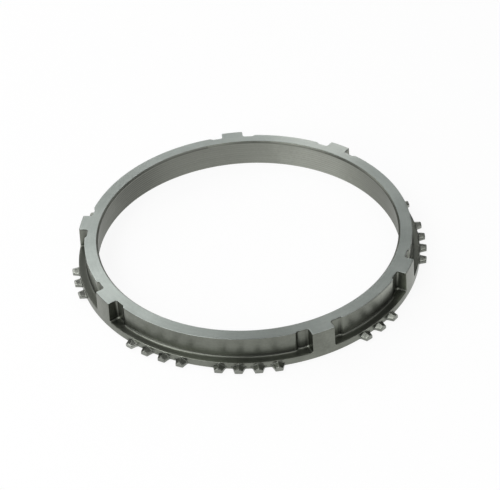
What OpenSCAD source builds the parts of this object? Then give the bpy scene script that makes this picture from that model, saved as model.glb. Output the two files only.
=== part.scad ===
// Synchronizer ring: a one-piece steel ring with an inner friction cone, a toothed flange and paired lugs.
// Millimetres. The base rests on Z = 0 and the ring's axis is the Z axis.
// The middle of one lug pair lies on +Y.

/* [Ring] */
// Diameter of the friction cone at its small end, under the top chamfer
bore_d = 128.4; // [110:0.1:150]
// Half angle of the friction cone, in degrees
cone_angle = 6.5; // [5:0.5:9]
// Height from the base to the top face
ring_h = 13.35; // [11:0.05:18]
// Wall thickness at the small end of the cone
wall_t = 5.75; // [5:0.05:9]
// Chamfer on the inner edge of the top face
top_chamfer = 0.75; // [0.2:0.05:1.2]
// Chamfer at the mouth of the cone, in the base
mouth_chamfer = 0.4; // [0.2:0.1:1.4]
// Chamfer on the outer edge of the base
base_chamfer = 0.4; // [0.2:0.1:0.6]

/* [Flange] */
// Height of the flange's underside above the base
flange_z = 1.1; // [0.8:0.1:3]
// Thickness of the flange
flange_t = 2.9; // [2:0.1:4]
// Reach of the flange past the wall, at its underside
flange_reach = 3.68; // [3:0.01:5]
// Draft of the outer face that the flange and the lugs share, in degrees
outer_draft = 3.4; // [2:0.2:7]
// Fillet between the wall and the top of the flange
foot_fillet = 0.9; // [0.5:0.1:1.2]

/* [Lugs and recesses] */
// Number of lug pairs around the ring
pair_count = 3; // [2:1:4]
// Distance of a lug from the middle of its pair, in tooth pitches
lug_place = 3.5; // [3:0.5:4]
// Width of a lug
lug_w = 9.6; // [7:0.1:12]
// Chamfer on the outer top edge of a lug
lug_chamfer = 0.3; // [0.1:0.1:0.6]
// Depth of the recess in the wall beside each lug
recess_depth = 0.9; // [0.5:0.1:2]
// Length of the recess floor on each side of a lug
recess_floor = 4.4; // [2.5:0.1:6]
// Length of the ramp from the recess floor out to the wall
recess_ramp = 1.2; // [0.8:0.1:3]

/* [Teeth] */
// Number of tooth places around the ring, of which only some hold a tooth
tooth_places = 60; // [48:12:72]
// Teeth on each side of the middle tooth of a lug pair
inner_teeth = 1; // [0:1:1]
// First place past a lug that holds a tooth, counted from the middle of the pair
outer_start = 6; // [6:1:7]
// Reach of the tooth tips past the flange's underside
tooth_reach = 2.82; // [2:0.01:3.5]
// Width of a tooth where it leaves the flange
tooth_root_w = 5; // [4:0.1:5.6]
// Width of a tooth at its tip
tooth_tip_w = 3; // [2:0.1:3.8]
// Step from the flange's underside up to the underside of a tooth
tooth_lift = 0.1; // [0.05:0.05:0.3]
// Height of a tooth's flanks, from the flange's underside
flank_h = 1.05; // [0.6:0.05:1.4]
// Rise of the roof from the flanks to the ridge
roof_rise = 1.45; // [0.8:0.05:1.8]
// Fall of the ridge towards the tip, in degrees
ridge_fall = 5; // [0:1:8]

/* [Hidden] */
$fn = 180;

// Depth by which joined bodies run into each other
overlap = 1;

bore_r = bore_d / 2;
wall_r = bore_r + wall_t;
throat_r = bore_r + (ring_h - top_chamfer - mouth_chamfer) * tan(cone_angle);
mouth_r = throat_r + mouth_chamfer;

flange_r = wall_r + flange_reach;
flange_top = flange_z + flange_t;
tip_r = flange_r + tooth_reach;
recess_r = wall_r - recess_depth;

tooth_pitch = 360 / tooth_places;
pair_pitch = 360 / pair_count;
places_per_pair = tooth_places / pair_count;
pair_middle = 90;

// Radius of the drafted outer face at height z
function outer_r(z) = flange_r - (z - flange_z) * tan(outer_draft);

// Distance along X at which a circle of radius r lies y away from the X axis
function chord_x(r, y) = sqrt(r * r - y * y);

// Half section of the wall: base, outside, top face, cone and chamfers
module wall_section() {
    polygon([
        [mouth_r, 0],
        [wall_r - base_chamfer, 0],
        [wall_r, base_chamfer],
        [wall_r, ring_h],
        [bore_r + top_chamfer, ring_h],
        [bore_r, ring_h - top_chamfer],
        [throat_r, mouth_chamfer]
    ]);
}

// Half section of the collar that the flange and the lugs are left from, running into the wall
module collar_section() {
    inner_r = recess_r - overlap;
    polygon([
        [inner_r, flange_z],
        [flange_r, flange_z],
        [outer_r(ring_h - lug_chamfer), ring_h - lug_chamfer],
        [outer_r(ring_h) - lug_chamfer, ring_h],
        [inner_r, ring_h]
    ]);
}

// Half section of a fillet at the foot of a wall of radius r
module fillet_section(r) {
    translate([r, flange_top])
        difference() {
            translate([-overlap, -overlap])
                square(foot_fillet + overlap);
            translate([foot_fillet, foot_fillet])
                circle(r = foot_fillet);
        }
}

// Plan of the recess under one lug on +X, with a ramp at each end, lengthened by spare at its floor
module recess_plan(spare = 0) {
    floor_y = lug_w / 2 + recess_floor;
    wall_y = floor_y + recess_ramp;
    floor_x = chord_x(recess_r, floor_y);
    wall_x = chord_x(wall_r, wall_y);
    ramp_slope = recess_ramp / (wall_x - floor_x);
    inner_x = floor_x - overlap;
    inner_y = floor_y - overlap * ramp_slope + spare;
    outer_x = flange_r;
    outer_y = floor_y + (outer_x - floor_x) * ramp_slope + spare;
    polygon([
        [inner_x, -inner_y],
        [outer_x, -outer_y],
        [outer_x, outer_y],
        [inner_x, inner_y]
    ]);
}

// Space taken out of the wall and its fillet under and beside one lug on +X
module recess() {
    difference() {
        translate([0, 0, flange_top - 2 * overlap])
            linear_extrude(ring_h - flange_top + 3 * overlap)
                recess_plan();
        cylinder(h = ring_h + 2 * overlap, r = recess_r);
    }
}

// Fillet at the foot of the recess floor of one lug on +X
module recess_fillet() {
    intersection() {
        rotate_extrude()
            fillet_section(recess_r);
        linear_extrude(ring_h)
            recess_plan(spare = foot_fillet / 2);
    }
}

// Flange and lugs in one: the collar, cut down to the flange between the lugs
module flange_and_lugs() {
    difference() {
        rotate_extrude()
            collar_section();
        difference() {
            translate([0, 0, flange_top])
                cylinder(h = ring_h, r = tip_r);
            at_lugs()
                translate([0, -lug_w / 2, 0])
                    cube([tip_r + overlap, lug_w, 2 * ring_h]);
        }
    }
}

// One tooth on +X: tapered in plan, with a roof whose ridge falls towards the tip
module tooth() {
    root_x = flange_r - overlap;
    taper = (tooth_root_w - tooth_tip_w) / 2 / tooth_reach;
    root_y = tooth_root_w / 2 + overlap * taper;
    end_y = tooth_tip_w / 2 - overlap * taper;
    roof_y = tooth_root_w;
    roof_drop = roof_rise * roof_y / (tooth_root_w / 2);
    ridge_z = flank_h + roof_rise;
    intersection() {
        translate([0, 0, flange_z + tooth_lift])
            linear_extrude(flange_t)
                polygon([
                    [root_x, -root_y],
                    [tip_r + overlap, -end_y],
                    [tip_r + overlap, end_y],
                    [root_x, root_y]
                ]);
        translate([flange_r, 0, flange_z + ridge_z])
            rotate([0, ridge_fall, 0])
                rotate([90, 0, 90])
                    linear_extrude(4 * tooth_reach, center = true)
                        polygon([
                            [-roof_y, -roof_drop],
                            [-roof_y, -2 * roof_drop],
                            [roof_y, -2 * roof_drop],
                            [roof_y, -roof_drop],
                            [0, 0]
                        ]);
        cylinder(h = ring_h, r = tip_r);
    }
}

// Copies a part on +X to every lug
module at_lugs() {
    for (pair = [0 : pair_count - 1], side = [-1, 1])
        rotate(pair_middle + pair * pair_pitch + side * lug_place * tooth_pitch)
            children();
}

// Copies a part on +X to every place that holds a tooth
module at_teeth() {
    for (pair = [0 : pair_count - 1], place = [0 : places_per_pair - 1]) {
        steps = min(place, places_per_pair - place);
        by_middle = steps <= inner_teeth;
        past_lug = steps >= outer_start && steps < places_per_pair / 2;
        if (by_middle || past_lug)
            rotate(pair_middle + pair * pair_pitch + place * tooth_pitch)
                children();
    }
}

module synchronizer_ring() {
    color("slategray") {
        difference() {
            union() {
                rotate_extrude()
                    wall_section();
                rotate_extrude()
                    fillet_section(wall_r);
            }
            at_lugs()
                recess();
        }
        flange_and_lugs();
        at_lugs()
            recess_fillet();
        at_teeth()
            tooth();
    }
}

synchronizer_ring();
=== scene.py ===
"""Looks of a synchronizer ring: one steel piece with a grooved cone, a toothed flange and paired lugs.

Sizes are in millimetres until a mesh is made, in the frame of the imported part: the base rests on Z = 0,
the ring's axis is Z and the middle of one lug pair lies on +Y.
"""

import logging
from dataclasses import dataclass, field, fields, replace
from enum import IntEnum
from typing import Any, Iterator, Mapping, Sequence, Union

import bmesh
import bpy
import numpy as np
from mathutils import Matrix, Vector


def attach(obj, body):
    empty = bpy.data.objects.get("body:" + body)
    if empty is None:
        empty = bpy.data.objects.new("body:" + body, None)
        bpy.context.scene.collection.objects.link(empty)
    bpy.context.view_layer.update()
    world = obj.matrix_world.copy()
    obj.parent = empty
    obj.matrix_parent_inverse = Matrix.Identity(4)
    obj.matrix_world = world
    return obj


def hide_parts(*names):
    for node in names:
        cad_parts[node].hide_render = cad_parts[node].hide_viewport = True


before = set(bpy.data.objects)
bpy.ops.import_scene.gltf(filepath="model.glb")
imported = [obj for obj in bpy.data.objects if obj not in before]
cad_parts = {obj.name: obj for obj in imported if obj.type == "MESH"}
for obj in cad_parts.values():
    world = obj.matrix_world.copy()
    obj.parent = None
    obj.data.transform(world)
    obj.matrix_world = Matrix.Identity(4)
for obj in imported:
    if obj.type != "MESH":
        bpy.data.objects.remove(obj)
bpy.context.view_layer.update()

LOG = logging.getLogger("synchronizer_ring")
MM = 0.001
NODE = "synchronizer_ring"
Array = np.ndarray
Number = Union[float, Array]
Colour = tuple[float, float, float]
WHITE = (1.0, 1.0, 1.0)
NOISE_MEAN = 0.5  # middle of a noise from 0 to 1
LOW_BOX = (0.62, 0.34)  # width and height of the lamps near the floor, in metres
SEAM_SHADE = 0.42  # painted shade along the cone's upper edge, which the top face and the cone share


class Zone(IntEnum):
    """Areas of the ring with a finish of their own, in the order of the material slots."""

    TOP = 0
    CONE = 1
    FLANK = 2
    TOOTH = 3
    BASE = 4


class Kind(IntEnum):
    """What a column of the body's grid runs down on its way from the top face to the flange."""

    WALL = 0
    SIDE = 1
    EDGE = 2
    FACE = 3


@dataclass(frozen=True)
class RingSizes:
    """Sizes of the ring in millimetres and degrees, as in the part's source, with its small edge radii."""

    bore_r: float = 64.2
    cone_angle: float = 6.5
    height: float = 13.35
    wall_r: float = 69.95
    top_chamfer: float = 0.75
    mouth_chamfer: float = 0.4
    base_chamfer: float = 0.4
    flange_z: float = 1.1
    flange_top: float = 4.0
    flange_r: float = 73.63
    outer_draft: float = 3.4
    foot_fillet: float = 0.9
    under_fillet: float = 0.5
    edge_r: float = 0.16
    wall_edge: float = 0.12
    recess_edge: float = 0.25
    lug_edge: float = 0.25
    lug_half: float = 4.8
    recess_r: float = 69.05
    floor_y: float = 9.2
    ramp_y: float = 10.4
    corner_r: float = 1.0
    ramp_foot: float = 0.5
    ramp_round: float = 0.45
    pair_middles: tuple[float, ...] = (90.0, 210.0, 330.0)
    lug_turn: float = 21.0
    tooth_turns: tuple[float, ...] = (-54, -48, -42, -36, -6, 0, 6, 36, 42, 48, 54)

    @property
    def throat_r(self) -> float:
        """Radius of the cone at its lower end, above the mouth chamfer."""
        rise = self.height - self.top_chamfer - self.mouth_chamfer
        return self.bore_r + rise * np.tan(np.radians(self.cone_angle))

    @property
    def mouth_r(self) -> float:
        """Radius of the mouth in the base."""
        return self.throat_r + self.mouth_chamfer

    @property
    def rim_start_z(self) -> float:
        """Height at which the rim's face starts, under its rounded top edge."""
        return self.flange_top - self.edge_r

    @property
    def tooth_angles(self) -> Array:
        """Angles of all teeth in radians."""
        return np.radians([m + t for m in self.pair_middles for t in self.tooth_turns])

    def outer_r(self, z: Number) -> Number:
        """Radius of the drafted outer face that lugs and rim share, at height z."""
        return self.flange_r - (z - self.flange_z) * np.tan(np.radians(self.outer_draft))

    def corner_centre(self) -> tuple[float, float]:
        """Plan centre of the round between a lug's side and the recess floor, for a lug on +X."""
        y = self.lug_half + self.corner_r
        return float(np.sqrt((self.recess_r + self.corner_r) ** 2 - y * y)), y


@dataclass(frozen=True)
class ToothSizes:
    """Sizes of one blocking tooth: a tapered house with a falling ridge, flared where it leaves the rim."""

    tip_r: float = 76.45
    root_half: float = 2.5
    tip_half: float = 1.5
    ridge_z: float = 3.6
    ridge_fall: float = 5.0
    roof_slope: float = 0.58
    root_flare: float = 0.45
    root_lift: float = 0.17
    eave_round: float = 0.3
    ridge_round: float = 0.22
    tip_round: float = 0.28
    tip_corner: float = 0.08
    roof_places: tuple[float, ...] = (0.62, 0.3)


def polar(radius: Number, angle: Number, z: Number) -> Array:
    """Points at a radius, an angle about Z and a height.

    Args:
        radius: Distance from the axis.
        angle: Angle in radians.
        z: Height.

    Returns:
        Array of points whose last axis holds x, y and z.
    """
    r, a, h = np.broadcast_arrays(radius, angle, z)
    return np.stack([r * np.cos(a), r * np.sin(a), h], axis=-1)


def turned(points: Array, angle: Number) -> Array:
    """Points turned about Z by an angle, as (x cos - y sin, x sin + y cos).

    Args:
        points: Array whose last axis starts with x and y.
        angle: Angle in radians, one for all or one for each point.

    Returns:
        The turned points.
    """
    x, y = points[..., 0], points[..., 1]
    out = points.copy()
    out[..., 0] = x * np.cos(angle) - y * np.sin(angle)
    out[..., 1] = x * np.sin(angle) + y * np.cos(angle)
    return out


def blend(a: Number, b: Number, share: Number) -> Number:
    """Value or point on the straight line from a to b at a share of its length."""
    return a + (b - a) * share


@dataclass(frozen=True)
class Lobe:
    """A place round the ring where a look is strongest: height max(cos(angle - turn), 0) to a power.

    The turn is in degrees about Z. A higher power makes the place narrower.
    """

    turn: float
    power: float
    height: float = 1.0

    def at(self, angles: Number) -> Number:
        """Height at each angle in radians."""
        return self.height * np.clip(np.cos(angles - np.radians(self.turn)), 0.0, 1.0) ** self.power


def lobe_sum(lobes: Sequence[Lobe], angles: Array) -> Array:
    """Sum of the lobes at each angle in radians."""
    return sum(lobe.at(angles) for lobe in lobes)


@dataclass
class Patch:
    """A grid of points with a value of wear and painted highlight and one of dirt and painted shade for each,
    and the quads between neighbouring points.
    """

    points: Array
    quads: Array
    zone: Array
    wear_and_highlight: Array
    nook: Array

    @classmethod
    def grid(cls, points: Array, zone: Union[int, Array], wear_and_highlight: Number = 0.0, nook: Number = 0.0,
             closed: bool = False, keep: Union[Array, None] = None) -> "Patch":
        """Joins the points of a grid of rows and columns to quads.

        Args:
            points: Array of rows, columns and x, y, z.
            zone: Zone of all quads, or one for each strip between two rows, or one for each quad.
            wear_and_highlight: Wear and painted highlight of each point, from 0 to 1.
            nook: Dirt and painted shade of each point, from 0 to 1.
            closed: True where the last column joins the first.
            keep: Mask of the quads that are kept.

        Returns:
            The patch.
        """
        rows, columns = points.shape[:2]
        index = np.arange(rows * columns).reshape(rows, columns)
        right = np.roll(index, -1, axis=1)
        quads = np.stack([index[:-1], right[:-1], right[1:], index[1:]], axis=-1)
        zones = np.broadcast_to(zone if np.ndim(zone) == 2 else np.reshape(zone, (-1, 1)), quads.shape[:2])
        kept = np.ones(quads.shape[:2], bool) if keep is None else keep.copy()
        if not closed:
            kept[:, -1] = False
        shape = (rows, columns)
        return cls(points.reshape(-1, 3), quads[kept], zones[kept],
                   np.broadcast_to(wear_and_highlight, shape).reshape(-1).astype(float),
                   np.broadcast_to(nook, shape).reshape(-1).astype(float))

    @classmethod
    def join(cls, patches: Sequence["Patch"]) -> "Patch":
        """Puts patches together into one and drops the points that no quad uses.

        Args:
            patches: The patches, which may share border points.

        Returns:
            One patch with all quads.
        """
        starts = np.cumsum([0] + [len(p.points) for p in patches[:-1]])
        points = np.concatenate([p.points for p in patches])
        quads = np.concatenate([p.quads + s for p, s in zip(patches, starts)])
        used, flat = np.unique(quads, return_inverse=True)
        return cls(points[used], flat.reshape(-1, 4), np.concatenate([p.zone for p in patches]),
                   np.concatenate([p.wear_and_highlight for p in patches])[used],
                   np.concatenate([p.nook for p in patches])[used])


@dataclass
class Columns:
    """One value a column of the body's grid, which runs round the ring.

    A wall column goes straight down from its plan point, and moves along its plan normal in a fillet. The
    columns of a lug are worked out for each height, because its outer face is drafted: place is the share of
    the side, the angle on the rounded edge in radians, or the share of the outer face.
    """

    kind: Array
    sign: Array
    place: Array
    lug: Array
    point: Array
    normal: Array
    rim: Array
    bore: Array
    edge: Array
    rim_top: Array
    window: Array
    nook: Array
    foot: Array

    @property
    def count(self) -> int:
        """Number of columns."""
        return len(self.kind)

    @classmethod
    def join(cls, parts: Sequence["Columns"]) -> "Columns":
        """Columns of all parts in one, in their order."""
        return cls(*(np.concatenate([getattr(p, f.name) for p in parts]) for f in fields(cls)))

    @classmethod
    def on_wall(cls, angles: Array, sizes: RingSizes, rim_top: Number, window: bool = False) -> "Columns":
        """Columns on the round wall.

        Args:
            angles: Angle of each column in radians.
            sizes: The ring's sizes.
            rim_top: Height at which the lower rows of the rim start.
            window: True for the columns of a tooth.

        Returns:
            The columns.
        """
        n = len(angles)
        ray = np.stack([np.cos(angles), np.sin(angles)], axis=1)
        inside = np.zeros(n, bool)
        inside[:-1] = window
        return cls(kind=np.full(n, int(Kind.WALL)), sign=np.ones(n), place=np.zeros(n), lug=np.zeros(n),
                   point=sizes.wall_r * ray, normal=ray, rim=angles, bore=angles,
                   edge=np.full(n, sizes.wall_edge), rim_top=np.broadcast_to(rim_top, n).astype(float),
                   window=inside, nook=np.zeros(n), foot=np.ones(n))

    def mirrored(self) -> "Columns":
        """The same columns on the other side of the lug's middle plane, in turned-round order."""
        flip = np.array([1.0, -1.0])
        other = replace(self, sign=-self.sign, point=self.point * flip, normal=self.normal * flip,
                        rim=-self.rim, bore=-self.bore)
        return Columns(*(getattr(other, f.name)[::-1] for f in fields(other)))

    def moved_to(self, angle: float) -> "Columns":
        """The columns of a lug on +X, turned to a lug at an angle in radians."""
        return replace(self, lug=self.lug + angle, point=turned(self.point, angle),
                       normal=turned(self.normal, angle), rim=self.rim + angle, bore=self.bore + angle)

    def part(self, start: int) -> "Columns":
        """The columns from a place on."""
        return Columns(*(getattr(self, f.name)[start:] for f in fields(self)))


@dataclass
class LugPlan:
    """Columns across one lug and its recess, from wall to wall.

    The half plan is: outer face, rounded edge, side, round inner corner, recess floor, rounded foot of the
    ramp, ramp, and rounded head of the ramp on the wall.
    """

    sizes: RingSizes
    rim_top: float
    face_places: tuple[float, ...] = (0.0, 0.2, 0.4, 0.6, 0.8, 0.93)
    edge_angles: tuple[float, ...] = (0.0, 30.0, 60.0, 90.0)
    side_places: tuple[float, ...] = (0.85, 0.6, 0.35, 0.15)
    corner_steps: int = 6
    floor_steps: int = 4
    round_steps: int = 5
    # painted shade in the fillet at a lug's side, twice the wall's
    side_foot: float = 2.0
    # painted shade in the recess: inner corner, floor, and foot, middle and head of the ramp
    corner_nook: float = 1.0
    floor_nook: float = 0.4
    ramp_foot_nook: float = 1.0
    ramp_nook: float = 0.3
    ramp_head_nook: float = 0.2

    def curve(self, start: Array, bend: Array, end: Array) -> tuple[Array, Array]:
        """Round between two lines, the parabola (1-t)^2 start + 2t(1-t) bend + t^2 end.

        Args:
            start: First point.
            bend: Point where the two lines would meet.
            end: Last point.

        Returns:
            Points, and outward normals, which are the directions of travel turned right.
        """
        t = np.linspace(0.0, 1.0, self.round_steps)[:, None]
        points = (1 - t) ** 2 * start + 2 * t * (1 - t) * bend + t * t * end
        travel = (1 - t) * (bend - start) + t * (end - bend)
        travel /= np.linalg.norm(travel, axis=1, keepdims=True)
        return points, np.stack([travel[:, 1], -travel[:, 0]], axis=1)

    def recess_half(self) -> tuple[Array, Array, Array]:
        """Plan of the recess on one side: inner corner, floor, and ramp with its two rounds.

        Returns:
            Points, outward normals and painted shade, from the lug's side out to the wall.
        """
        s = self.sizes
        x, y = s.corner_centre()
        first = np.arctan2(y, x)
        turn = np.linspace(-np.pi / 2, first - np.pi, self.corner_steps)
        ray = np.stack([np.cos(turn), np.sin(turn)], axis=1)
        corner = np.array([x, y]) + s.corner_r * ray
        foot = np.arcsin(s.floor_y / s.recess_r)
        head = np.arcsin(s.ramp_y / s.wall_r)
        low = foot - s.ramp_foot / s.recess_r
        high = head + s.ramp_round / s.wall_r
        floor_angles = np.linspace(first, low, self.floor_steps + 1)[1:-1]
        floor = polar(1.0, floor_angles, 0.0)[:, :2]
        foot_point = polar(s.recess_r, foot, 0.0)[:2]
        head_point = polar(s.wall_r, head, 0.0)[:2]
        along = (head_point - foot_point) / np.linalg.norm(head_point - foot_point)
        ramp_start, ramp_end = foot_point + s.ramp_foot * along, head_point - s.ramp_round * along
        inner, inner_n = self.curve(polar(s.recess_r, low, 0.0)[:2], foot_point, ramp_start)
        outer, outer_n = self.curve(ramp_end, head_point, polar(s.wall_r, high, 0.0)[:2])
        middle = (ramp_start + ramp_end)[None] / 2
        middle_n = np.array([[along[1], -along[0]]])
        points = np.concatenate([corner, s.recess_r * floor, inner, middle, outer])
        normals = np.concatenate([-ray, floor, inner_n, middle_n, outer_n])
        levels = (self.corner_nook, self.floor_nook, self.ramp_foot_nook, self.ramp_nook)
        nook = np.concatenate([np.repeat(levels, [len(corner), len(floor), len(inner), len(middle)]),
                               np.linspace(self.ramp_head_nook, 0.0, len(outer))])
        return points, normals, nook

    def half(self) -> Columns:
        """Columns of the half on the +Y side of a lug on +X.

        Returns:
            The columns, from the middle of the outer face to the wall.
        """
        s = self.sizes
        points, normals, recess_nook = self.recess_half()
        face, edge = np.array(self.face_places), np.radians(self.edge_angles)
        side, walls = np.array(self.side_places), len(points)
        counts = [len(face), len(edge), len(side), walls]
        kind = np.repeat([Kind.FACE, Kind.EDGE, Kind.SIDE, Kind.WALL], counts).astype(int)
        n = len(kind)
        flat = np.zeros((n - walls, 2))
        foot_half = s.lug_half + s.foot_fillet
        rim_r, top_r = s.outer_r(s.rim_start_z), s.outer_r(s.height)
        lead = counts[0] + counts[1]
        rest = n - lead
        last = np.arctan2(points[-1, 1], points[-1, 0])
        edge_rim = np.arcsin(foot_half / rim_r)
        rim = np.concatenate([np.arcsin(face * foot_half / rim_r), np.full(len(edge), edge_rim),
                              blend(edge_rim, last, np.arange(1, rest + 1) / rest)])
        side_x = blend(s.corner_centre()[0], top_r, side)
        own = np.concatenate([np.arcsin(face * s.lug_half / top_r), np.full(len(edge), s.lug_half / top_r),
                              np.arctan2(s.lug_half, side_x), np.arctan2(points[:, 1], points[:, 0])])
        bore = (own + last * np.arange(n) / (n - 1)) / 2
        top_edge = np.concatenate([np.full(lead, s.lug_edge), np.full(len(side), s.recess_edge),
                                   np.full(walls - self.round_steps, s.recess_edge),
                                   np.linspace(s.recess_edge, s.wall_edge, self.round_steps)])
        # painted shade on a lug's side, deeper towards the recess corner
        nook = np.concatenate([np.zeros(lead), 1 - side, recess_nook])
        foot = np.concatenate([np.zeros(lead), np.full(len(side), self.side_foot),
                               np.zeros(self.corner_steps), np.ones(walls - self.corner_steps)])
        return Columns(kind=kind, sign=np.ones(n), place=np.concatenate([face, edge, side, np.zeros(walls)]),
                       lug=np.zeros(n), point=np.concatenate([flat, points]),
                       normal=np.concatenate([flat, normals]), rim=rim, bore=bore, edge=top_edge,
                       rim_top=np.full(n, self.rim_top), window=np.zeros(n, bool), nook=nook, foot=foot)

    def columns(self, angle: float) -> Columns:
        """Columns of the whole lug at an angle in radians, in the order of the angle."""
        half = self.half()
        return Columns.join([half.mirrored(), half.part(1)]).moved_to(angle)


@dataclass
class Tooth:
    """One blocking tooth on +X, lofted along the radius from its flared root on the rim to its tip.

    At a radius the outline is a house: two upright flanks and a roof, z = ridge - slope |y|. It is sampled
    from the foot of the left flank over the roof to the foot of the right one. Wear, painted shade and the
    share of a painted highlight along the tooth are given for each outline from root to tip, and the wear of
    the edges for eave, ridge and eave.
    """

    ring: RingSizes
    sizes: ToothSizes = field(default_factory=ToothSizes)
    flank_count: int = 3
    round_turns: tuple[float, ...] = (30.0, 60.0, 90.0)
    body_places: tuple[float, ...] = (1 / 3, 2 / 3, 1.0)
    edge_wear: tuple[float, ...] = (0.2, 0.35, 0.2)
    # wear along the tooth, which towards the tip is also painted highlight
    along_wear: tuple[float, ...] = (0.3, 0.1, 0.0, 0.0, 0.0, 0.0, 0.1, 0.3, 0.5, 0.5)
    # painted shade, deepest where the tooth leaves the rim
    along_nook: tuple[float, ...] = (1.0, 1.0, 0.7, 0.4, 0.1, 0.1, 0.1, 0.1, 0.1, 0.1)
    # share of the painted highlight at each outline; edge wear only where it passes one half
    along_shine: tuple[float, ...] = (0.0, 0.0, 1 / 3, 2 / 3, 1.0, 1.0, 1.0, 1.0, 1.0, 1.0)
    # wear and painted highlight of the tip face
    tip_wear_and_highlight: float = 0.5
    # painted highlights on the teeth at these angles
    shines: tuple[Lobe, ...] = (
        Lobe(246.0, 400), Lobe(36.0, 400), Lobe(42.0, 400), Lobe(24.0, 400, 0.6),
        Lobe(204.0, 400, 0.6), Lobe(210.0, 400, 0.6), Lobe(216.0, 400, 0.6))

    def outline(self, x: float, spread: float = 0.0, lift: float = 0.0,
                soft: float = 1.0) -> tuple[Array, Array]:
        """House outline at one radius.

        Args:
            x: Radius, at which the width and the ridge's height are taken.
            spread: Distance by which the flanks stand further out.
            lift: Distance by which the roof stands higher.
            soft: 1 for rounded eaves and ridge, 0 for sharp ones.

        Returns:
            The y and z values of the samples.
        """
        t, r = self.sizes, self.ring
        share = (x - r.flange_r) / (t.tip_r - r.flange_r)
        half = blend(t.root_half, t.tip_half, share) + spread
        ridge = t.ridge_z - (x - r.flange_r) * np.tan(np.radians(t.ridge_fall)) + lift
        eave = ridge - t.roof_slope * half
        under = eave - t.eave_round
        flank_z = np.linspace(r.flange_z, under, self.flank_count)
        roof_y = np.array([half - t.eave_round, *(half * p for p in t.roof_places), t.ridge_round])
        roof_z = ridge - t.roof_slope * roof_y
        corner = np.array([half, eave])
        chord = (np.array([half, under]) + np.array([roof_y[0], roof_z[0]])) / 2
        corner = corner + soft * (chord - corner) / 2
        top = ridge - soft * t.roof_slope * t.ridge_round / 2
        right = np.concatenate([np.full(self.flank_count, half), corner[:1], roof_y])
        rise = np.concatenate([flank_z, corner[1:], roof_z])
        y = np.concatenate([-right, [0.0], right[::-1]])
        return y, np.concatenate([rise, [top], rise[::-1]])

    def roof_samples(self) -> slice:
        """Samples of the outline from eave to eave."""
        return slice(self.flank_count, -self.flank_count)

    def root_angles(self) -> tuple[Array, Array]:
        """Where the flared root meets the rim.

        Returns:
            Angle of each outline sample, with each flank at its eave's angle, and the height of each.
        """
        t = self.sizes
        y, z = self.outline(self.ring.flange_r, t.root_flare, t.root_lift, 0.0)
        angle = np.arcsin(y / self.ring.outer_r(z))
        n = self.flank_count
        angle[:n], angle[-n:] = angle[n], angle[-n - 1]
        return angle, z

    def rings(self) -> Array:
        """Outlines from the rim to the tip: flared root, straight body and rounded tip edge.

        Returns:
            Array of stations, samples and x, y, z.
        """
        t, r = self.sizes, self.ring
        angle, z0 = self.root_angles()
        out = [polar(r.outer_r(z0), angle, z0)]
        for beta in np.radians(self.round_turns):
            away = t.root_flare * (1 - np.cos(beta))
            left = 1 - np.sin(beta)
            y, z = self.outline(r.flange_r + away, t.root_flare * left, t.root_lift * left)
            out.append(np.stack([np.sqrt(r.outer_r(z) ** 2 - y * y) + away, y, z], axis=1))
        body_start = out[-1][:, 0]
        for share in self.body_places:
            x = blend(r.flange_r + t.root_flare, t.tip_r - t.tip_round, share)
            y, z = self.outline(x)
            tip_x = np.sqrt(t.tip_r ** 2 - y * y) - t.tip_round
            out.append(np.stack([blend(body_start, tip_x, share), y, z], axis=1))
        for beta in np.radians(self.round_turns):
            inset, short = 1 - np.cos(beta), t.tip_round * (1 - np.sin(beta))
            y, z = self.outline(t.tip_r - short, -t.tip_corner * inset, -t.tip_round * inset)
            x = np.sqrt(t.tip_r ** 2 - y * y) - short
            out.append(np.stack([x, y, z], axis=1))
        return np.array(out)

    def end_rows(self, last: Array) -> Array:
        """Tip face, filled in between the last outline's roof and its foot.

        Args:
            last: The last outline.

        Returns:
            Rows from the roof down to the foot.
        """
        n = self.flank_count
        roof = last[self.roof_samples()]
        straight = roof[:, 1].copy()
        straight[0], straight[-1] = last[0, 1], last[-1, 1]
        levels = last[n::-1, 2]
        drop = (levels[0] - levels) / (levels[0] - levels[-1])
        y = np.stack([roof[:, 1]] + [straight] * n)
        z = roof[:, 2] + (self.ring.flange_z - roof[:, 2]) * drop[:, None]
        return np.stack([np.sqrt(self.sizes.tip_r ** 2 - y * y), y, z], axis=-1)

    def under_rows(self, rings: Array) -> Array:
        """Underside, straight from the left foot of each outline to the right one.

        Args:
            rings: The outlines, from root to tip.

        Returns:
            Rows from the rim to the tip.
        """
        angle, _ = self.root_angles()
        at_rim = polar(self.ring.flange_r, angle[self.roof_samples()], self.ring.flange_z)
        y, _ = self.outline(self.ring.flange_r, soft=0.0)
        share = (y[self.roof_samples()] / y[0] - 1) / -2
        rows = blend(rings[:, :1], rings[:, -1:], share[None, :, None])
        rows[0] = at_rim
        rows[-1] = self.end_rows(rings[-1])[-1]
        return rows

    def patches(self, angle: float) -> list[Patch]:
        """The tooth's roof and flanks, tip face and underside, turned to an angle in radians.

        Args:
            angle: Angle of the tooth's middle.

        Returns:
            Three patches that share their borders.
        """
        rings = self.rings()
        samples, n = rings.shape[1], self.flank_count
        across = np.zeros(samples)
        across[[n, samples // 2, -n - 1]] = self.edge_wear
        past_root = np.array(self.along_shine)[:, None]
        wear_and_highlight = np.maximum(np.array(self.along_wear)[:, None], across * (past_root > 0.5))
        nook = np.array(self.along_nook)[:, None] * np.ones(samples)
        nook[:, [0, -1]] = 0.0
        # painted highlight: lightens a tooth at some angles and takes off its painted shade
        shine = float(max(lobe.at(angle) for lobe in self.shines))
        wear_and_highlight, nook = np.maximum(wear_and_highlight, shine * past_root), nook * (1 - shine * past_root)
        end = self.end_rows(rings[-1])
        return [Patch.grid(turned(rings, angle), Zone.TOOTH, wear_and_highlight, nook),
                Patch.grid(turned(end, angle), Zone.TOOTH, max(self.tip_wear_and_highlight, shine)),
                Patch.grid(turned(self.under_rows(rings), angle), Zone.TOOTH)]


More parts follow.
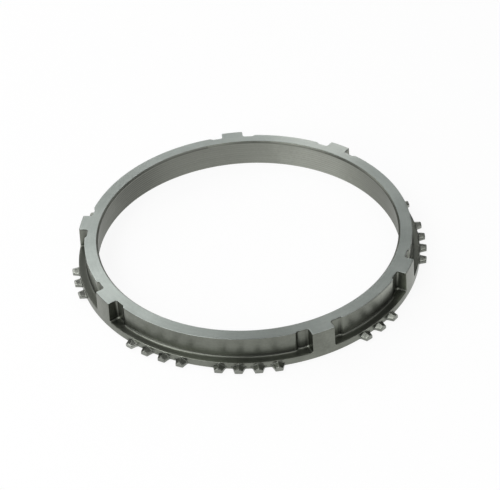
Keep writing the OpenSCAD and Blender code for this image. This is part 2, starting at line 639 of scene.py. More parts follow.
@dataclass(frozen=True)
class BodyLooks:
    """Wear, painted highlights and painted shade of the wall, the lugs and the flange, from 0 to 1.

    A row of the top face has its place between bore and edge, and its wear. A row of the fillet has its lean
    in degrees, its painted shade and its share of the painted highlight streaks. A row of the flange has its
    place and its painted shade.
    """

    facing: Lobe = Lobe(287.0, 2, 0.4)  # painted shade along the wall's top edge on one side of the ring; its turn is also the lugs' front
    foot_shade: Lobe = Lobe(212.0, 4, 0.9)  # painted shade in the foot fillet and on the flange, on one side of the ring
    sheens: tuple[Lobe, ...] = (Lobe(212.0, 7), Lobe(355.0, 7))  # painted sheen: lighter stretches of the wall
    low_sheen: Lobe = Lobe(240.0, 6, 0.5)  # painted sheen low on the wall
    streak_highlights: tuple[Lobe, ...] = (Lobe(254.0, 40), Lobe(325.0, 40, 0.7))  # painted highlight streaks in the foot fillet
    glow: Lobe = Lobe(75.0, 12)  # painted highlight: lighter stretch of the top face
    shade: Lobe = Lobe(277.0, 8, 0.72)  # painted shade: duller stretch of the top face
    shade_most: float = 0.45
    flange_light: Lobe = Lobe(8.0, 8, 0.6)  # painted light: lighter stretch of the flange
    # wear of a lug facing the front, and of one facing sideways, where it is also painted highlight
    lug_front: float = 0.242
    lug_side: float = 0.44
    sheen_nook: float = 6.0  # how fast the painted sheen fades into a recess
    sheen_least: float = 0.1
    sheen_fall: float = 0.6  # share of the painted sheen that is lost at the wall's foot
    wall_nook: float = 0.25  # share of a recess's painted shade that reaches the wall's top
    edge_nook: float = 0.9  # painted shade of the top edge along a recess
    edge_gain: float = 2.0  # how fast that painted shade comes in with the recess
    top_rows: tuple[tuple[float, float], ...] = ((0.12, 0.1), (0.5, 0.0), (0.9, 0.1), (1.0, 0.1))
    wall_places: tuple[float, ...] = (0.08, 0.35, 0.65, 1.0)
    fillet_rows: tuple[tuple[float, float, float], ...] = (
        (15.0, 0.9, 0.0), (30.0, 0.9, 0.0), (45.0, 0.75, 0.1), (60.0, 0.5, 0.55), (75.0, 0.32, 1.0),
        (90.0, 0.5, 0.7))
    flange_rows: tuple[tuple[float, float], ...] = ((1 / 3, 0.55), (2 / 3, 0.52), (1.0, 0.3))
    # painted glints on the rim's top edge, brighter near the teeth and under the fillet streaks
    rim_glint: float = 0.15
    root_wear: float = 0.4
    streak_glint: float = 0.25
    foot_wear: float = 0.5
    base_wear: float = 0.6
    # painted shade under the flange
    under_nook: float = 0.6


@dataclass
class Row:
    """One row of the body's grid, with the zone of the strip that ends at it, its wear and painted highlight,
    and its dirt and painted shade.
    """

    points: Array
    zone: Zone
    wear_and_highlight: Number = 0.0
    nook: Number = 0.0


@dataclass
class Body:
    """Wall, lugs, recesses, flange and underside as one grid that runs round the ring.

    Rows go from the inner edge of the top face over it, down the wall or lug, through the foot fillet, over
    the flange and its rim, and under it to the mouth in the base.
    """

    sizes: RingSizes
    tooth: Tooth
    looks: BodyLooks = BodyLooks()
    wall_step: float = 0.6
    gap_least: int = 4
    edge_turns: tuple[float, ...] = (22.5, 45.0, 67.5, 90.0)
    rim_turns: tuple[float, ...] = (30.0, 60.0, 90.0)
    rim_places: tuple[float, ...] = (0.5, 1.0)
    under_round: float = 0.3
    columns: Columns = field(init=False)
    on_lug: Array = field(init=False)
    sideways: Array = field(init=False)
    lug_wear_and_light: Array = field(init=False)
    streak_highlight: Array = field(init=False)
    foot_shade: Array = field(init=False)

    def __post_init__(self) -> None:
        """Lays out the columns and works out the looks that several groups of rows share.

        A lug's outer face has some wear, and a painted highlight that grows where it faces sideways, with the
        squared sine of its angle from the front.
        """
        k, c = self.looks, self.all_columns()
        self.columns, self.on_lug = c, c.kind >= Kind.EDGE
        self.sideways = np.where(self.on_lug, np.sin(c.rim - np.radians(k.facing.turn)) ** 2, 0.0)
        self.lug_wear_and_light = np.where(self.on_lug, blend(k.lug_front, k.lug_side, self.sideways), 0.0)
        self.streak_highlight, self.foot_shade = lobe_sum(k.streak_highlights, c.rim), k.foot_shade.at(c.rim)

    def all_columns(self) -> Columns:
        """All columns in the order of their angle, an even number of them.

        Returns:
            Columns of the teeth's windows and of the lugs, with plain wall columns between them.
        """
        s = self.sizes
        root, root_z = self.tooth.root_angles()
        roof = self.tooth.roof_samples()
        eave_z = float(root_z[roof][0])
        plan = LugPlan(s, eave_z)
        lugs = np.radians([m + side * s.lug_turn for m in s.pair_middles for side in (-1, 1)])
        parts = [Columns.on_wall(a + root[roof], s, root_z[roof], True) for a in s.tooth_angles]
        parts += [plan.columns(a) for a in lugs]
        parts.sort(key=lambda p: float(p.rim[len(p.rim) // 2]))
        total = sum(p.count for p in parts)
        filled: list[Columns] = []
        for here, after in zip(parts, parts[1:] + parts[:1]):
            start, end = here.rim[-1], after.rim[0] + (2 * np.pi if after is parts[0] else 0.0)
            steps = max(self.gap_least, round((end - start) / np.radians(self.wall_step)))
            if after is parts[0] and (total + steps - 1) % 2:
                steps += 1
            total += steps - 1
            between = np.linspace(start, end, steps + 1)[1:-1]
            filled += [here, Columns.on_wall(between, s, eave_z)]
        return Columns.join(filled)

    def upper_row(self, z: Number, offset: Number, lean: float = 0.0, inset: Number = 0.0,
                  turn_limit: float = np.pi / 2) -> Array:
        """Points of one row on the wall, the lugs or the foot fillet.

        A wall point is its plan point moved out along its normal by the offset. A lug's outer face lies on
        the drafted cone, its side stands half a width and the offset from its middle, and between them an
        edge of small radius turns from the face to the side, which leans from upright to level in the fillet.

        Args:
            z: Height of the row, one for all or one a column.
            offset: Distance out from the wall and from the lug's side.
            lean: Angle in radians by which the side's normal leans up.
            inset: Distance by which the outer face lies further in.
            turn_limit: Largest angle in radians that is taken on the rounded edge.

        Returns:
            One point a column.
        """
        s, c = self.sizes, self.columns
        z, offset, inset = (np.broadcast_to(v, c.count).astype(float) for v in (z, offset, inset))
        half = s.lug_half + offset
        y_in, z_in = half - s.edge_r * np.cos(lean), z - s.edge_r * np.sin(lean)
        outer = s.outer_r(z_in) - inset
        x_in = np.sqrt(outer ** 2 - y_in ** 2)
        turn = np.minimum(c.place, turn_limit)
        kinds = [c.kind == Kind.FACE, c.kind == Kind.EDGE]
        face_y = np.minimum(c.place, 1.0) * y_in
        side_x = s.corner_centre()[0]
        x = np.select(kinds, [np.sqrt(outer ** 2 - face_y ** 2), x_in - s.edge_r * (1 - np.cos(turn))],
                      blend(side_x, x_in - s.edge_r, c.place))
        y = np.select(kinds, [face_y, y_in + s.edge_r * np.sin(turn) * np.cos(lean)], half) * c.sign
        lug_z = np.select(kinds, [z_in, z_in + s.edge_r * np.sin(turn) * np.sin(lean)], z)
        lug = turned(np.stack([x, y, lug_z], axis=1), c.lug)
        wall = np.concatenate([c.point + offset[:, None] * c.normal, z[:, None]], axis=1)
        return np.where((c.kind == Kind.WALL)[:, None], wall, lug)

    def pair_bore(self) -> Array:
        """Bore angles with each odd column on the one before it, where the cone has half the columns."""
        return np.repeat(self.columns.bore[::2], 2)

    def top_rows(self) -> Iterator[Row]:
        """Top face from the bore out, and the rounded edge where it turns down to wall and lugs.

        Returns:
            The rows.
        """
        s, c, k = self.sizes, self.columns, self.looks
        inner_r = s.bore_r + s.top_chamfer
        inner, outer = polar(inner_r, c.bore, s.height), self.upper_row(s.height, -c.edge, inset=c.edge)
        # painted highlight and painted shade of the top face by its angle round the ring
        glow, shade = k.glow.at(c.rim), np.minimum(k.shade.at(c.rim), k.shade_most)
        # painted shade of the top edge: on one side of the ring and along the recesses
        in_nook = k.edge_nook * np.minimum(k.edge_gain * c.nook, 1.0)
        edge_dark = np.where(self.on_lug, 0.0, np.maximum(k.facing.at(c.rim), in_nook))
        yield Row(polar(inner_r, self.pair_bore(), s.height), Zone.TOP, 0.0, SEAM_SHADE)
        for place, wear_and_highlight in k.top_rows:
            yield Row(blend(inner, outer, place), Zone.TOP, wear_and_highlight + glow, shade)
        for degrees in self.edge_turns:
            turn = np.radians(degrees)
            inward, down = c.edge * (1 - np.sin(turn)), c.edge * (1 - np.cos(turn))
            row = self.upper_row(s.height - down, -inward, inset=inward)
            # painted shade on the edges of lugs that face sideways, and on the top edge
            dark = np.maximum(self.sideways * np.sin(2 * turn), edge_dark * np.sin(turn))
            yield Row(row, Zone.TOP if degrees < 90.0 else Zone.FLANK, 0.0, dark)

    def wall_rows(self) -> Iterator[Row]:
        """Wall and lugs from the top edge down, and the foot fillet from upright to level.

        Returns:
            The rows.
        """
        s, c, k = self.sizes, self.columns, self.looks
        # painted sheen on the wall by its angle round the ring, weaker in the recesses
        open_share = np.clip(1 - k.sheen_nook * c.nook, k.sheen_least, 1.0)
        sheen = np.where(c.kind == Kind.WALL, open_share * lobe_sum(k.sheens, c.rim), 0.0)
        low_sheen = np.where(sheen > 0.0, k.low_sheen.at(c.rim), 0.0)
        # the recesses' painted shade runs down the wall, deeper at the foot
        for place in k.wall_places:
            row = self.upper_row(blend(s.height - c.edge, s.flange_top + s.foot_fillet, place), 0.0)
            worn_and_lit = np.maximum(self.lug_wear_and_light, sheen * (1 - k.sheen_fall * place) + low_sheen * place)
            yield Row(row, Zone.FLANK, worn_and_lit, c.nook * blend(k.wall_nook, 1.0, place))
        # painted shade in the fillet, left off where the painted highlight streaks lie
        for degrees, dirt, share in k.fillet_rows:
            lean, shine = np.radians(degrees), share * self.streak_highlight
            z = s.flange_top + s.foot_fillet * (1 - np.sin(lean))
            row = self.upper_row(z, s.foot_fillet * (1 - np.cos(lean)), lean)
            dark = np.minimum(c.foot * dirt * (1 - shine), 1.0)
            # painted shade in the fillet on one side of the ring
            dark = np.maximum(dark, self.foot_shade * (c.foot > 0))
            yield Row(row, Zone.FLANK, np.maximum(self.lug_wear_and_light, shine), dark)

    def flange_rows(self, foot: Array) -> Iterator[Row]:
        """Flange from the foot fillet out, its rounded edge, and its rim down to the roofs of the teeth.

        On a lug the rows of the flange stay at its foot, because its outer face runs on into the rim.

        Args:
            foot: Points of the fillet's last row.

        Returns:
            The rows.
        """
        s, c, k = self.sizes, self.columns, self.looks
        on_lug = self.on_lug[:, None]
        rim_in = s.outer_r(s.rim_start_z) - s.edge_r
        rim_edge = polar(rim_in, c.rim, s.flange_top)
        # painted shade on the flange, less where the painted light lies, more with the foot's painted shade
        for place, dirt in k.flange_rows:
            row = np.where(on_lug, foot, blend(foot, rim_edge, place))
            dark = blend(dirt * (1 - k.flange_light.at(c.rim)), 1.0, self.foot_shade)
            yield Row(row, Zone.FLANK, self.lug_wear_and_light, np.where(self.on_lug, 0.0, dark))
        # painted glints on the rim's top edge
        root_rise = (c.rim_top - np.min(c.rim_top)) / np.ptp(c.rim_top)
        worn_and_lit = k.rim_glint + k.root_wear * root_rise + k.streak_glint * self.streak_highlight
        worn_and_lit = np.where(self.on_lug, self.lug_wear_and_light, worn_and_lit)
        for turn in np.radians(self.rim_turns):
            on_edge = self.upper_row(s.flange_top, s.foot_fillet, np.pi / 2, turn_limit=np.pi / 2 - turn)
            z = s.flange_top - s.edge_r * (1 - np.cos(turn))
            around = polar(rim_in + s.edge_r * np.sin(turn), c.rim, z)
            yield Row(np.where(on_lug, on_edge, around), Zone.FLANK, worn_and_lit)
        for place in self.rim_places:
            z = blend(s.rim_start_z, c.rim_top, place)
            yield Row(polar(s.outer_r(z), c.rim, z), Zone.FLANK, self.lug_wear_and_light)

    def rim_rows(self) -> Iterator[Row]:
        """Rim between the flanks of the teeth, down to its lower edge.

        Returns:
            The rows.
        """
        s, c = self.sizes, self.columns
        under = float(np.min(c.rim_top)) - self.tooth.sizes.eave_round
        for z in np.linspace(under, s.flange_z, self.tooth.flank_count):
            worn_and_lit = np.maximum(self.lug_wear_and_light, self.looks.foot_wear if z == s.flange_z else 0.0)
            yield Row(polar(s.outer_r(z), c.rim, z), Zone.FLANK, worn_and_lit)

    def base_rows(self) -> Iterator[Row]:
        """Underside of the flange, fillet and skirt of the wall, and the base as far as the cone's mouth.

        Returns:
            The rows.
        """
        s, c, k = self.sizes, self.columns, self.looks
        middle, f, part = (c.rim + c.bore) / 2, s.under_fillet, self.under_round
        places = ((2.0, 0.0, c.rim), (1.0, 0.0, middle), (part, part, middle), (0.0, 1.0, middle))
        # painted shade under the flange
        for out, down, angle in places:
            yield Row(polar(s.wall_r + out * f, angle, s.flange_z - down * f), Zone.BASE, 0.0, k.under_nook)
        yield Row(polar(s.wall_r, middle, s.base_chamfer), Zone.BASE, k.base_wear)
        yield Row(polar(s.wall_r - s.base_chamfer, c.bore, 0.0), Zone.BASE, k.base_wear)
        yield Row(polar((s.wall_r + s.mouth_r) / 2, c.bore, 0.0), Zone.BASE)
        yield Row(polar(s.mouth_r, self.pair_bore(), 0.0), Zone.BASE, k.base_wear)

    def patch(self) -> Patch:
        """The whole grid of the body.

        Returns:
            The patch, open at the bore and at the teeth's windows.
        """
        upper = [*self.top_rows(), *self.wall_rows()]
        upper += self.flange_rows(upper[-1].points)
        lower = list(self.rim_rows())
        rows = [*upper, *lower, *self.base_rows()]
        c, first = self.columns, len(upper) - 1
        keep = np.ones((len(rows) - 1, c.count), bool)
        keep[first:first + len(lower), c.window] = False
        points, zones = np.array([r.points for r in rows]), np.array([int(r.zone) for r in rows[1:]])
        wear_and_highlight = np.array([np.broadcast_to(r.wear_and_highlight, c.count) for r in rows])
        nook = np.array([np.broadcast_to(r.nook, c.count) for r in rows])
        return Patch.grid(points, zones, wear_and_highlight, nook, True, keep)


@dataclass
class Cone:
    """Friction cone in the bore, with fine turned grooves between its two chamfers.

    The radius falls along the height by the tangent of the cone's half angle. Each groove adds a shallow V of
    the groove depth to it, and between two grooves the cone's crest stays. A row of a groove has its place in
    the pitch, its share of the depth and its painted shade.
    """

    sizes: RingSizes
    groove_pitch: float = 1.24
    groove_depth: float = 0.08
    plain_low: float = 0.5
    plain_high: float = 0.45
    groove_rows: tuple[tuple[float, float, float], ...] = (
        (0.0, 0.0, 0.0), (0.3, 0.8, 0.7), (0.55, 1.0, 1.0), (0.8, 0.5, 0.35))
    # painted shade in the grooves, strongest at two places
    lines: tuple[Lobe, ...] = (Lobe(75.0, 60, 0.5), Lobe(157.0, 60, 0.5))
    groove_shade_least: float = 0.1  # painted shade in the grooves away from those two places
    cone_darkening: float = 0.48  # darkening all over the cone
    # painted shade: darker stretches of the cone
    cone_shades: tuple[Lobe, ...] = (Lobe(30.0, 8, 0.2), Lobe(167.0, 8, 0.2))
    clean: Lobe = Lobe(76.0, 20)  # painted highlight: lighter stretch of the cone
    cone_highlight_share: float = 0.8
    mouth_wear: float = 0.5
    clear: Lobe = Lobe(167.0, 8, 0.6)  # painted light: lighter stretch of the top chamfer
    # painted shade of the top chamfer, less where the painted light lies
    clear_nook: float = 1.1
    dark_turn: float = 24.5  # middle of the top chamfer's painted shade side
    dark_half: float = 97.5
    dark_fade: float = 32.0
    # painted shade on the chamfer's dark side, deeper towards its middle
    dark_nook: float = 0.6
    dark_more: float = 0.3

    def profile(self) -> tuple[Array, Array]:
        """Radius and height of the rows between the chamfers, from below.

        Returns:
            Radii and heights.
        """
        s = self.sizes
        low, high = s.mouth_chamfer, s.height - s.top_chamfer
        first, last = low + self.plain_low, high - self.plain_high
        count = max(1, round((last - first) / self.groove_pitch))
        starts = np.linspace(first, last, count + 1)[:-1]
        pitch = (last - first) / count
        places, depths, _ = np.array(self.groove_rows).T
        z = np.concatenate([[low], (starts[:, None] + pitch * places).ravel(), [last, high]])
        deep = np.concatenate([[0.0], np.tile(depths * self.groove_depth, count), [0.0, 0.0]])
        crest = s.bore_r + (high - z) * np.tan(np.radians(s.cone_angle))
        return crest + deep, z

    def patch(self, angles: Array) -> Patch:
        """The cone with its two chamfers.

        The cone is darkened all over, less where a painted highlight lies, with painted shade that is thicker
        or thinner by the lobes and deeper in the grooves. The top chamfer has painted shade, with the darker
        flank finish, up to an angle on each side of one place, and painted light on the rest of its way.

        Args:
            angles: Angle of each column in radians.

        Returns:
            The patch, whose first and last rows are the body's.
        """
        s = self.sizes
        r, z = self.profile()
        radii = np.concatenate([[s.mouth_r], r, [s.bore_r + s.top_chamfer]])
        heights = np.concatenate([[0.0], z, [s.height]])
        clean, grooved = self.clean.at(angles), slice(2, -3)
        wear_and_highlight = np.zeros((len(radii), len(angles)))
        wear_and_highlight[:grooved.start] = self.mouth_wear
        wear_and_highlight[grooved] = self.cone_highlight_share * clean
        nook = np.tile(self.cone_darkening * (1 - clean) + lobe_sum(self.cone_shades, angles), (len(radii), 1))
        dirt = [row[2] for row in self.groove_rows]
        dirt = np.tile(dirt, len(nook[grooved]) // len(dirt))
        nook[grooved] += dirt[:, None] * (self.groove_shade_least + lobe_sum(self.lines, angles))
        spread = np.degrees(np.arccos(np.cos(angles - np.radians(self.dark_turn))))
        dark_side = spread < self.dark_half
        fade = np.clip((self.dark_half - spread) / self.dark_fade, 0.0, 1.0)
        dark = self.dark_nook + self.dark_more * fade
        nook[-2] = np.where(dark_side, dark, self.clear_nook - self.clear.at(angles))
        nook[-1] = SEAM_SHADE
        zone = np.full((len(radii) - 1, len(angles)), int(Zone.CONE))
        # the painted shade side of the top chamfer takes the darker flank finish
        zone[-1, dark_side] = Zone.FLANK
        rows = polar(radii[:, None], angles[None, :], heights[:, None])
        return Patch.grid(rows, zone, wear_and_highlight, nook, True)


class Value:
    """The output of a shader node, on which sums are written as on a number."""

    def __init__(self, graph: "Graph", socket: bpy.types.NodeSocket) -> None:
        """Wraps an output socket of a graph."""
        self.graph = graph
        self.socket = socket

    def math(self, operation: str, *values: Any) -> "Value":
        """Adds a Math node of the given values and numbers."""
        return self.graph.value("ShaderNodeMath", {"operation": operation}, dict(enumerate(values)))

    def __add__(self, other: Any) -> "Value":
        """Sum."""
        return self.math("ADD", self, other)

    def __radd__(self, other: Any) -> "Value":
        """Sum with the number first."""
        return self.math("ADD", other, self)

    def __sub__(self, other: Any) -> "Value":
        """Difference."""
        return self.math("SUBTRACT", self, other)

    def __rsub__(self, other: Any) -> "Value":
        """Difference with the number first."""
        return self.math("SUBTRACT", other, self)

    def __mul__(self, other: Any) -> "Value":
        """Product."""
        return self.math("MULTIPLY", self, other)

    def __rmul__(self, other: Any) -> "Value":
        """Product with the number first."""
        return self.math("MULTIPLY", other, self)

    def power(self, exponent: float) -> "Value":
        """This value to a power."""
        return self.math("POWER", self, exponent)

    def clamped(self, low: float = 0.0, high: float = 1.0) -> "Value":
        """This value kept between two bounds."""
        return self.math("MAXIMUM", self.math("MINIMUM", self, high), low)

    def step(self, start: float, end: float) -> "Value":
        """Smooth step from 0 at start to 1 at end."""
        return self.graph.value("ShaderNodeMapRange", {"interpolation_type": "SMOOTHSTEP"},
                                {"Value": self, "From Min": start, "From Max": end})


class Graph:
    """The node tree of one material or world, with a method that makes any node."""

    def __init__(self, owner: Union[bpy.types.Material, bpy.types.World]) -> None:
        """Empties the owner's node tree."""
        owner.use_nodes = True
        self.tree = owner.node_tree
        self.tree.nodes.clear()

    def node(self, kind: str, settings: Mapping[str, Any], sockets: Mapping[Any, Any]) -> bpy.types.Node:
        """Adds a node.

        Args:
            kind: The node's type.
            settings: Properties, which are set first.
            sockets: Values or links of its inputs, by name or number.

        Returns:
            The node.
        """
        node = self.tree.nodes.new(kind)
        for name, setting in settings.items():
            setattr(node, name, setting)
        for name, given in sockets.items():
            socket = node.inputs[name]
            if isinstance(given, Value):
                self.tree.links.new(given.socket, socket)
            elif isinstance(given, tuple) and socket.type == "RGBA" and len(given) == 3:
                socket.default_value = (*given, 1.0)
            else:
                socket.default_value = given
        return node

    def value(self, kind: str, settings: Mapping[str, Any], sockets: Mapping[Any, Any],
              output: Union[int, str] = 0) -> Value:
        """Adds a node and gives one of its outputs."""
        return Value(self, self.node(kind, settings, sockets).outputs[output])

    def attribute(self, name: str) -> Value:
        """A number that the mesh holds at each point."""
        return self.value("ShaderNodeAttribute", {"attribute_name": name}, {}, "Fac")

    def noise(self, vector: Value, scale: float, detail: float = 3.0, rough: float = 0.55) -> Value:
        """Cloudy noise from 0 to 1 at a scale in waves a metre."""
        return self.value("ShaderNodeTexNoise", {}, {"Vector": vector, "Scale": scale, "Detail": detail,
                                                     "Roughness": rough})

    def mix(self, share: Union[Value, float], first: Any, second: Any) -> Value:
        """Colour between two colours."""
        return self.value("ShaderNodeMix", {"data_type": "RGBA"}, {0: share, 6: first, 7: second}, 2)

    def vector(self, x: Any, y: Any, z: Any) -> Value:
        """Vector of three numbers."""
        return self.value("ShaderNodeCombineXYZ", {}, {0: x, 1: y, 2: z})


@dataclass(frozen=True)
class SteelFinish:
    """Finish of one area of the steel.

    The colour lies between a dark and a light tone by cloudy noise. Turning marks follow the distance from
    the ring's axis or the height, so they run round the ring. Worn edges and painted highlights are lighter,
    and dirt and painted shade darker.
    """

    name: str
    light: Colour
    dark: Colour
    worn_and_lit: Colour
    rough: float
    rough_spread: float
    marks: float = 0.0
    mark_scale: float = 2600.0
    grain: float = 0.15
    nook_share: float = 0.5
    wear_share: float = 0.6
    turning: float = 0.0
    patchy: float = 0.6
    cloud_scale: float = 90.0
    speck_scale: float = 900.0
    fine_scale: float = 3200.0
    tone_mix: tuple[float, float, float] = (0.55, 0.25, 0.2)
    tone_range: tuple[float, float] = (0.3, 0.72)
    wear_range: tuple[float, float] = (0.2, 0.95)
    wear_level: float = 0.9
    nook_cloud: float = 0.7
    nook_least: float = 0.6
    nook_range: tuple[float, float] = (0.15, 1.0)
    rough_speck: float = 0.6
    rough_range: tuple[float, float] = (0.12, 0.9)
    wear_gloss: float = 0.05
    nook_rough: float = 0.08
    dirt_tone: float = 0.3
    bump_strength: float = 0.35
    bump_depth: float = 0.0001
    turning_angle: float = 0.25

    def material(self) -> bpy.types.Material:
        """Builds the node material.

        Returns:
            The material.
        """
        material = bpy.data.materials.new(self.name)
        g = Graph(material)
        where = g.value("ShaderNodeTexCoord", {}, {}, "Object")
        split = g.node("ShaderNodeSeparateXYZ", {}, {0: where})
        x, y, z = (Value(g, o) for o in split.outputs)
        radius = (x * x + y * y).power(0.5)
        rings = g.noise(g.vector(radius * self.mark_scale, z * self.mark_scale, 0.0), 1.0, detail=2.0)
        cloud = g.noise(where, self.cloud_scale, detail=4.0)
        speck = g.noise(where, self.speck_scale, rough=0.6)
        fine = g.noise(where, self.fine_scale, detail=2.0)
        clouds, specks, marks = self.tone_mix
        tone = (cloud * clouds + speck * specks + rings * marks).step(*self.tone_range)
        colour = g.mix(tone, self.dark, self.light)
        # worn edges and painted highlights mix towards the lighter colour
        spots = speck * self.patchy + (self.wear_level - NOISE_MEAN * self.patchy)
        wear_and_highlight = (g.attribute("wear_and_highlight") * spots).step(*self.wear_range)
        colour = g.mix(wear_and_highlight * self.wear_share, colour, self.worn_and_lit)
        # dirt and painted shade mix towards a darker tone
        nook = (g.attribute("nook") * (cloud * self.nook_cloud + self.nook_least)).step(*self.nook_range)
        colour = g.mix(nook * self.nook_share, colour, tuple(self.dirt_tone * c for c in self.dark))
        uneven = speck * self.rough_speck + cloud * (1 - self.rough_speck) - NOISE_MEAN
        rough = self.rough + self.rough_spread * uneven
        rough = (rough - wear_and_highlight * self.wear_gloss + nook * self.nook_rough).clamped(*self.rough_range)
        height = rings * self.marks + fine * self.grain + speck * self.grain
        bump = g.value("ShaderNodeBump", {}, {
            "Strength": self.bump_strength, "Distance": self.bump_depth, "Height": height})
        shader = g.value("ShaderNodeBsdfPrincipled", {}, {
            "Base Color": colour, "Metallic": 1.0, "Roughness": rough, "Normal": bump,
            "Anisotropic": self.turning, "Anisotropic Rotation": self.turning_angle})
        g.node("ShaderNodeOutputMaterial", {}, {"Surface": shader})
        return material


FINISHES = {
    Zone.TOP: SteelFinish(
        "turned_top_steel", (0.465, 0.505, 0.476), (0.365, 0.4, 0.376), (0.6, 0.632, 0.586),
        0.4, 0.12, marks=0.6, nook_share=0.75, turning=0.75),
    Zone.CONE: SteelFinish(
        "grooved_cone_steel", (0.338, 0.353, 0.312), (0.244, 0.253, 0.223), (0.378, 0.39, 0.35),
        0.45, 0.14, marks=0.4, nook_share=0.65, turning=0.6),
    Zone.FLANK: SteelFinish(
        "dark_flank_steel", (0.217, 0.229, 0.198), (0.143, 0.151, 0.13), (0.45, 0.474, 0.418),
        0.32, 0.1, marks=0.2, grain=0.1, nook_share=0.75, wear_share=0.8, turning=0.4),
    Zone.TOOTH: SteelFinish(
        "tooth_steel", (0.218, 0.228, 0.204), (0.18, 0.188, 0.168), (0.4, 0.415, 0.38),
        0.3, 0.08, grain=0.03, patchy=0.1),
    Zone.BASE: SteelFinish(
        "base_steel", (0.33, 0.34, 0.315), (0.23, 0.24, 0.22), (0.5, 0.52, 0.48),
        0.36, 0.12, marks=0.5, turning=0.5),
}


def placed(name: str, data: bpy.types.ID) -> bpy.types.Object:
    """New object of a mesh, a lamp or a camera, linked to the scene."""
    thing = bpy.data.objects.new(name, data)
    bpy.context.scene.collection.objects.link(thing)
    return thing


@dataclass
class SynchronizerRing:
    """The whole ring as one closed mesh."""

    sizes: RingSizes = field(default_factory=RingSizes)
    merge_distance: float = 1e-6
    sharp_angle: float = 38.0
    shading_weight: int = 70

    def build(self) -> bpy.types.Object:
        """Makes the ring's mesh from its patches, closes the seams and gives it its finishes.

        Returns:
            The ring's object.
        """
        s = self.sizes
        tooth = Tooth(s)
        body = Body(s, tooth)
        teeth = [patch for angle in s.tooth_angles for patch in tooth.patches(angle)]
        whole = Patch.join([body.patch(), Cone(s).patch(body.columns.bore[::2]), *teeth])
        mesh = bpy.data.meshes.new("ring_steel")
        mesh.from_pydata((whole.points * MM).tolist(), [], whole.quads.tolist())
        mesh.polygons.foreach_set("material_index", whole.zone.astype(np.int32))
        # mesh values: wear with painted highlight, and dirt with painted shade
        for name, values in (("wear_and_highlight", whole.wear_and_highlight), ("nook", whole.nook)):
            mesh.attributes.new(name, "FLOAT", "POINT").data.foreach_set("value", values.astype(np.float32))
        self.close(mesh)
        piece = placed("ring_steel", mesh)
        for zone in Zone:
            mesh.materials.append(FINISHES[zone].material())
        weighted = piece.modifiers.new("even_shading", "WEIGHTED_NORMAL")
        weighted.keep_sharp = True
        weighted.weight = self.shading_weight
        return piece

    def close(self, mesh: bpy.types.Mesh) -> None:
        """Merges the shared border points, turns the faces outwards and marks the sharp edges.

        Args:
            mesh: The mesh, changed in place.
        """
        work = bmesh.new()
        work.from_mesh(mesh)
        bmesh.ops.remove_doubles(work, verts=work.verts, dist=self.merge_distance)
        bmesh.ops.recalc_face_normals(work, faces=work.faces)
        open_edges = sum(1 for e in work.edges if len(e.link_faces) != 2)
        LOG.info("edges that do not join two faces: %d", open_edges)
        work.to_mesh(mesh)
        work.free()
        mesh.polygons.foreach_set("use_smooth", np.ones(len(mesh.polygons), bool))
        mesh.set_sharp_from_angle(angle=float(np.radians(self.sharp_angle)))


@dataclass(frozen=True)
class PhotoCamera:
    """Camera at the photograph's viewpoint: angles in degrees, lengths in millimetres, image in pixels."""

    azimuth: float = 17.147
    elevation: float = 39.002
    roll: float = -3.393
    distance: float = 557.275
    focal_px: float = 1301.86
    image: tuple[int, int] = (500, 490)
    target_px: tuple[float, float] = (247.236, 226.93)
    target_z: float = 13.2
    sensor: float = 36.0
    clip_start: float = 10.0

    def build(self) -> bpy.types.Object:
        """Places the camera so that a point on the ring's axis falls on its pixel.

        Returns:
            The camera, set as the scene's.
        """
        el, roll, az = np.radians([self.elevation, self.roll, self.azimuth])
        back = np.array([0.0, -np.cos(el), np.sin(el)])
        right = np.array([1.0, 0.0, 0.0])
        up = np.cross(back, right)
        across = np.cos(roll) * right + np.sin(roll) * up
        over = np.cos(roll) * up - np.sin(roll) * right
        centre = (np.array(self.image) - 1) / 2
        shift = (np.array(self.target_px) - centre) / self.focal_px * self.distance
        place = back * self.distance - shift[0] * across + shift[1] * over
        axes = turned(np.stack([across, over, back, place]), az)
        axes[3, 2] += self.target_z
        data = bpy.data.cameras.new("photo_camera")
        data.sensor_width = self.sensor
        data.lens = self.focal_px * self.sensor / self.image[0]
        data.clip_start = self.clip_start * MM
        camera = placed("photo_camera", data)
        matrix = np.eye(4)
        matrix[:3, :3] = axes[:3].T
        matrix[:3, 3] = axes[3] * MM
        camera.matrix_world = Matrix(matrix.tolist())
        bpy.context.scene.camera = camera
        return camera


@dataclass(frozen=True)
class SoftBox:
    """A plain rectangular studio lamp that faces the ring, turned from the camera, with sizes in metres."""

    name: str
    turn: float
    elevation: float
    radiance: float
    size: tuple[float, float] = (0.6, 0.6)
    distance: float = 1.2

    def build(self) -> bpy.types.Object:
        """Places the lamp, with a power that gives its face the stated radiance.

        Returns:
            The lamp.
        """
        data = bpy.data.lights.new(self.name, "AREA")
        data.shape = "RECTANGLE"
        data.size, data.size_y = self.size
        data.energy = self.radiance * np.pi * self.size[0] * self.size[1]
        az, el = np.radians([self.turn + PhotoCamera.azimuth, self.elevation])
        away = Vector((np.cos(el) * np.sin(az), -np.cos(el) * np.cos(az), np.sin(el)))
        lamp = placed(self.name, data)
        lamp.location = away * self.distance
        lamp.rotation_euler = away.to_track_quat("Z", "Y").to_euler()
        return lamp


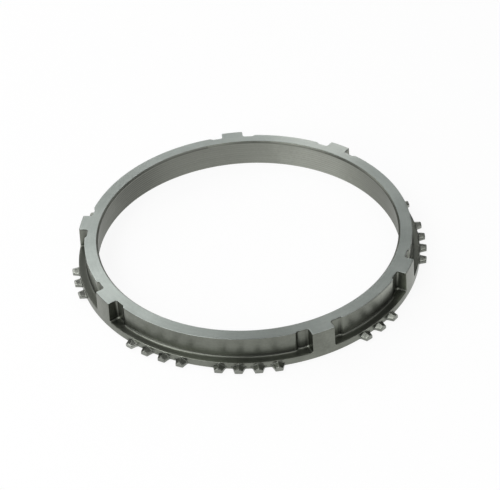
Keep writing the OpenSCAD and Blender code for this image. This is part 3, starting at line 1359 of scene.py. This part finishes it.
@dataclass
class Studio:
    """White floor, soft lamps and an even world."""

    lamps: tuple[SoftBox, ...] = (
        SoftBox("low_back_lamp", 180.0, 12.0, 3.6, LOW_BOX),
        SoftBox("low_left_lamp", 300.0, 12.0, 5.5, LOW_BOX),
        SoftBox("low_right_lamp", 120.0, 12.0, 1.2, LOW_BOX),
        SoftBox("back_lamp", 180.0, 33.0, 0.7),
        SoftBox("back_left_lamp", 210.0, 33.0, 1.4),
        SoftBox("left_lamp", 240.0, 33.0, 2.2),
        SoftBox("front_lamp", 330.0, 33.0, 3.8),
        SoftBox("right_lamp", 60.0, 33.0, 1.4),
        SoftBox("high_front_lamp", 30.0, 58.0, 2.3),
        SoftBox("high_right_lamp", 120.0, 58.0, 0.5),
        SoftBox("high_left_lamp", 240.0, 58.0, 1.6),
        SoftBox("high_front_left_lamp", 300.0, 58.0, 2.8),
    )
    world_level: float = 0.04
    floor_half: float = 4.0
    floor_colour: Colour = (0.96, 0.96, 0.96)
    floor_white: float = 0.9

    def build(self) -> None:
        """Makes the floor, the lamps and the world, and sets the plain view transform."""
        scene = bpy.context.scene
        scene.view_settings.view_transform = "Standard"
        for lamp in self.lamps:
            lamp.build()
        scene.world = bpy.data.worlds.new("studio")
        g = Graph(scene.world)
        light = g.value("ShaderNodeBackground", {}, {"Color": WHITE, "Strength": self.world_level})
        g.node("ShaderNodeOutputWorld", {}, {"Surface": light})
        h = self.floor_half
        mesh = bpy.data.meshes.new("floor")
        mesh.from_pydata([(-h, -h, 0), (h, -h, 0), (h, h, 0), (-h, h, 0)], [], [(0, 1, 2, 3)])
        floor = placed("floor", mesh)
        paper = bpy.data.materials.new("white_floor")
        g = Graph(paper)
        ray = g.node("ShaderNodeLightPath", {}, {}).outputs
        rays = ("Is Camera Ray", "Is Glossy Ray", "Is Transmission Ray")
        camera, glossy, through = (Value(g, ray[name]) for name in rays)
        seen = (camera + glossy + through).clamped() * self.floor_white
        lit = g.value("ShaderNodeBsdfDiffuse", {}, {"Color": self.floor_colour})
        white = g.value("ShaderNodeEmission", {}, {"Color": WHITE, "Strength": 1.0})
        shader = g.value("ShaderNodeMixShader", {}, {0: seen, 1: lit, 2: white})
        g.node("ShaderNodeOutputMaterial", {}, {"Surface": shader})
        mesh.materials.append(paper)


def main() -> None:
    """Builds the camera, the studio and the ring."""
    logging.basicConfig(level=logging.INFO, format="%(name)s: %(message)s")
    PhotoCamera().build()
    Studio().build()
    ring = SynchronizerRing().build()
    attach(ring, "root")
    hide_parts(NODE)
    LOG.info("%s: %d points, %d faces", ring.name, len(ring.data.vertices), len(ring.data.polygons))


if __name__ == "__main__":
    main()
